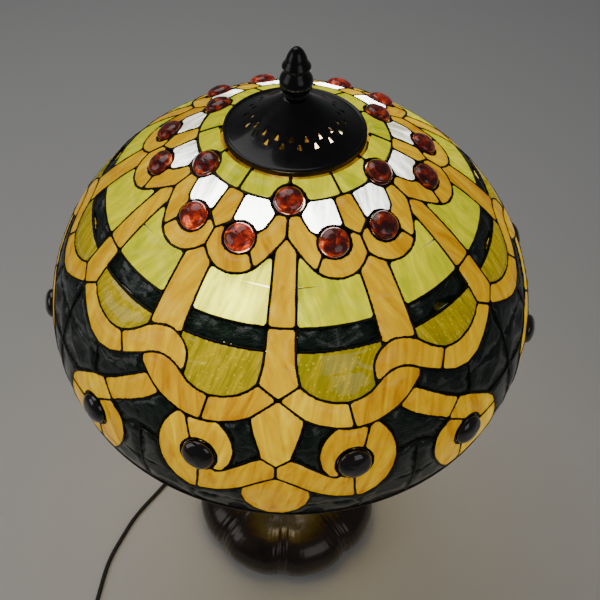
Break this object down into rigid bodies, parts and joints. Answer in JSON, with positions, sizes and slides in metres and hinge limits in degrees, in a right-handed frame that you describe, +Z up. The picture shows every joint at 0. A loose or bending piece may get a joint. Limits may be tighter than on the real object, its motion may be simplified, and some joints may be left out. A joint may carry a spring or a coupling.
{
  "type": "leaded glass table lamp",
  "caption": "Table lamp with a turning domed shade of leaded art glass and jewels, vented cap, acorn finial and lobed bronze foot.",
  "frame": {"origin": "on the table, on the stem's axis", "axes": "+Z up along the stem, -Y towards the front of the lamp, +X to the viewer's right"},
  "size_m": [0.5808, 0.4808, 0.6467],
  "materials": {
    "felt": "pressed felt ring",
    "foot_bronze": "dark brown bronze lacquer over cast metal",
    "black_iron": "gloss black enamel",
    "weight": "plain cast iron",
    "brass": "plain brass",
    "bulb_glass": "warm frosted glass",
    "bulb_metal": "threaded lamp cap",
    "cord_rubber": "black lead",
    "solder": "lead-free solder with a dark patina",
    "amber_glass": "streaky amber art glass",
    "yellow_glass": "wispy yellow-green art glass",
    "opal_glass": "white opal glass",
    "seedy_glass": "olive glass with bubbles and streaks",
    "dark_glass": "green-black rippled glass",
    "ruby_jewel": "mottled orange-red pressed glass",
    "dark_jewel": "near-black pressed glass"
  },
  "bodies": {
    "base": {"felt_pad": "felt", "foot": "foot_bronze", "foot_plate": "black_iron", "foot_weight": "weight", "rod_nut": "brass", "rod_washer": "brass", "threaded_rod": "brass", "stem": "foot_bronze", "stem_collar": "foot_bronze", "cluster_hub": "brass", "cluster_nut": "brass", "socket_front": "brass", "socket_back": "brass", "bulb_front": "bulb_glass", "bulb_back": "bulb_glass", "bulb_base_front": "bulb_metal", "bulb_base_back": "bulb_metal", "cord_bushing": "cord_rubber", "cord_run": "cord_rubber", "cord_coil": "cord_rubber", "cord_tail": "cord_rubber", "plug_body": "cord_rubber", "plug_pins": "brass", "seat_nut": "brass"},
    "shade": {"spider": "brass", "top_ring": "brass", "rim_band": "solder", "vent_cap": "black_iron", "upper_seams": "solder", "lower_seams": "solder", "band_seams": "solder", "jewel_settings": "solder", "crown_glass": "yellow_glass", "opal_glass": "opal_glass", "wedge_glass": "amber_glass", "chevron_glass": "amber_glass", "swag_glass": "amber_glass", "tall_bar_glass": "amber_glass", "short_bar_glass": "amber_glass", "panel_glass": "yellow_glass", "ripple_band_glass": "dark_glass", "seedy_glass": "seedy_glass", "ribbon_glass": "amber_glass", "link_glass": "amber_glass", "scroll_glass": "amber_glass", "lower_ribbon_glass": "amber_glass", "shield_glass": "amber_glass", "drop_glass": "amber_glass", "ground_glass": "dark_glass", "top_jewels": "ruby_jewel", "middle_jewels": "ruby_jewel", "dark_jewels": "dark_jewel"},
    "finial": {"finial": "black_iron"},
    "pull_front": {"pull_chain_front": "brass", "pull_bob_front": "brass"},
    "pull_back": {"pull_chain_back": "brass", "pull_bob_back": "brass"}
  },
  "joints": [
    {"name": "shade_turn", "type": "hinge", "parent": "base", "child": "shade", "pos_m": [0, 0, 0.57], "axis": [0, 0, 1], "continuous": true},
    {"name": "finial_unscrew", "type": "hinge", "parent": "base", "child": "finial", "pos_m": [0, 0, 0.62], "axis": [0, 0, 1], "continuous": true},
    {"name": "pull_front_slide", "type": "slide", "parent": "base", "child": "pull_front", "axis": [0, 0, -1], "range_m": [0, 0.012], "stiffness_N_per_m": 200},
    {"name": "pull_back_slide", "type": "slide", "parent": "base", "child": "pull_back", "axis": [0, 0, -1], "range_m": [0, 0.012], "stiffness_N_per_m": 200}
  ]
}
